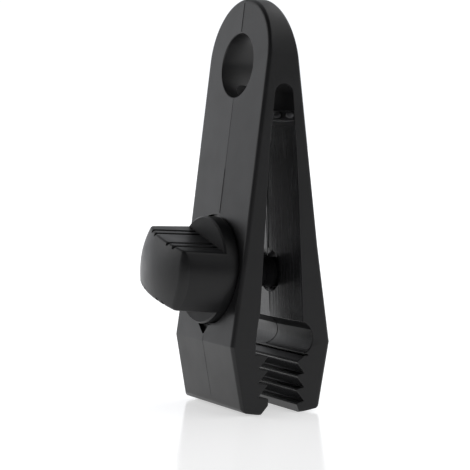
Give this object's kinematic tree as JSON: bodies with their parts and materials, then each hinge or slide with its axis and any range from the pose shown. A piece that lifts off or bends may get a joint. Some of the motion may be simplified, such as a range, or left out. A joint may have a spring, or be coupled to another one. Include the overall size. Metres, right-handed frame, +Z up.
{
  "type": "tarp clip",
  "caption": "Moulded A-shaped tarp clip with a rope eye at the top, flexing legs, saw-toothed jaws with a hem channel, and a grooved thumbscrew that draws the jaws shut.",
  "frame": {"origin": "centre of the rope eye, midway through the body's thickness", "axes": "+Z up from the jaws to the rope eye, X across the width, -Y towards the knob"},
  "size_m": [0.0264, 0.0363, 0.0872],
  "materials": {
    "body": "satin moulded black",
    "screw": "satin moulded black"
  },
  "bodies": {
    "head": {"eye_head": "body"},
    "front": {"front_leg": "body"},
    "rear": {"rear_leg": "body"},
    "screw": {"thumbscrew": "screw"}
  },
  "joints": [
    {"name": "front_leg_flex", "type": "hinge", "parent": "head", "child": "front", "pos_m": [0, -0.00269, -0.012], "axis": [1, 0, 0], "range_deg": [0, 3.12]},
    {"name": "rear_leg_flex", "type": "hinge", "parent": "head", "child": "rear", "pos_m": [0, 0.00269, -0.012], "axis": [-1, 0, 0], "range_deg": [0, 3.12]},
    {"name": "thumbscrew_turn", "type": "hinge", "parent": "front", "child": "screw", "pos_m": [0, 0, -0.0441], "axis": [0, 0.9981, -0.061], "range_deg": [0, 500]}
  ],
  "couplings": [
    {"joint": "front_leg_flex", "follows": "thumbscrew_turn", "ratio": 0.0062},
    {"joint": "rear_leg_flex", "follows": "thumbscrew_turn", "ratio": 0.0062}
  ]
}
